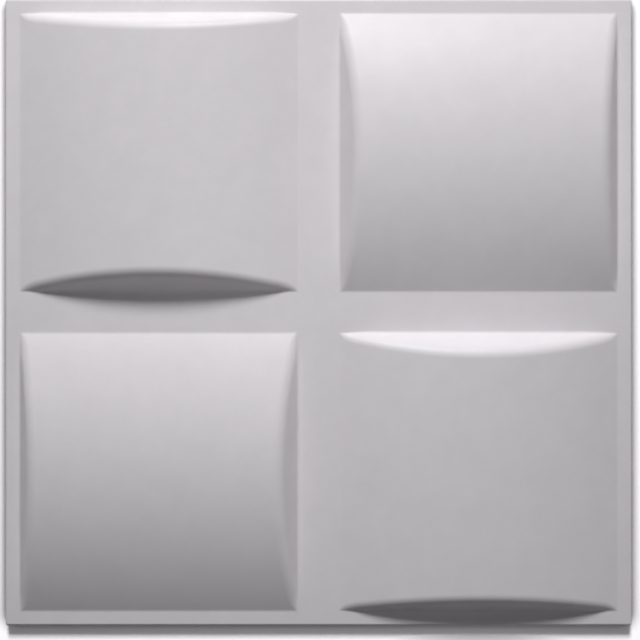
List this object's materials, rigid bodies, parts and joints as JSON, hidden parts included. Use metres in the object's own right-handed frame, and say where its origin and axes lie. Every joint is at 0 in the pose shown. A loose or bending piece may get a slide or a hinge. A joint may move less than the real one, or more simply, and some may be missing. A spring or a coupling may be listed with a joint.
{
  "type": "wall panel tile",
  "caption": "Square moulded relief tile with arched squares in a basket weave on a flat frame, hollow behind, that butts edge to edge to line a wall.",
  "frame": {"origin": "middle of the tile on the wall plane, which its rim stands on", "axes": "+Z out of the tile's front, +Y to its upper edge, +X to the right seen from the front"},
  "size_m": [0.5, 0.5, 0.028],
  "materials": {
    "moulded_sheet": "satin"
  },
  "bodies": {
    "root": {"wall_panel": "moulded_sheet"}
  },
  "joints": []
}
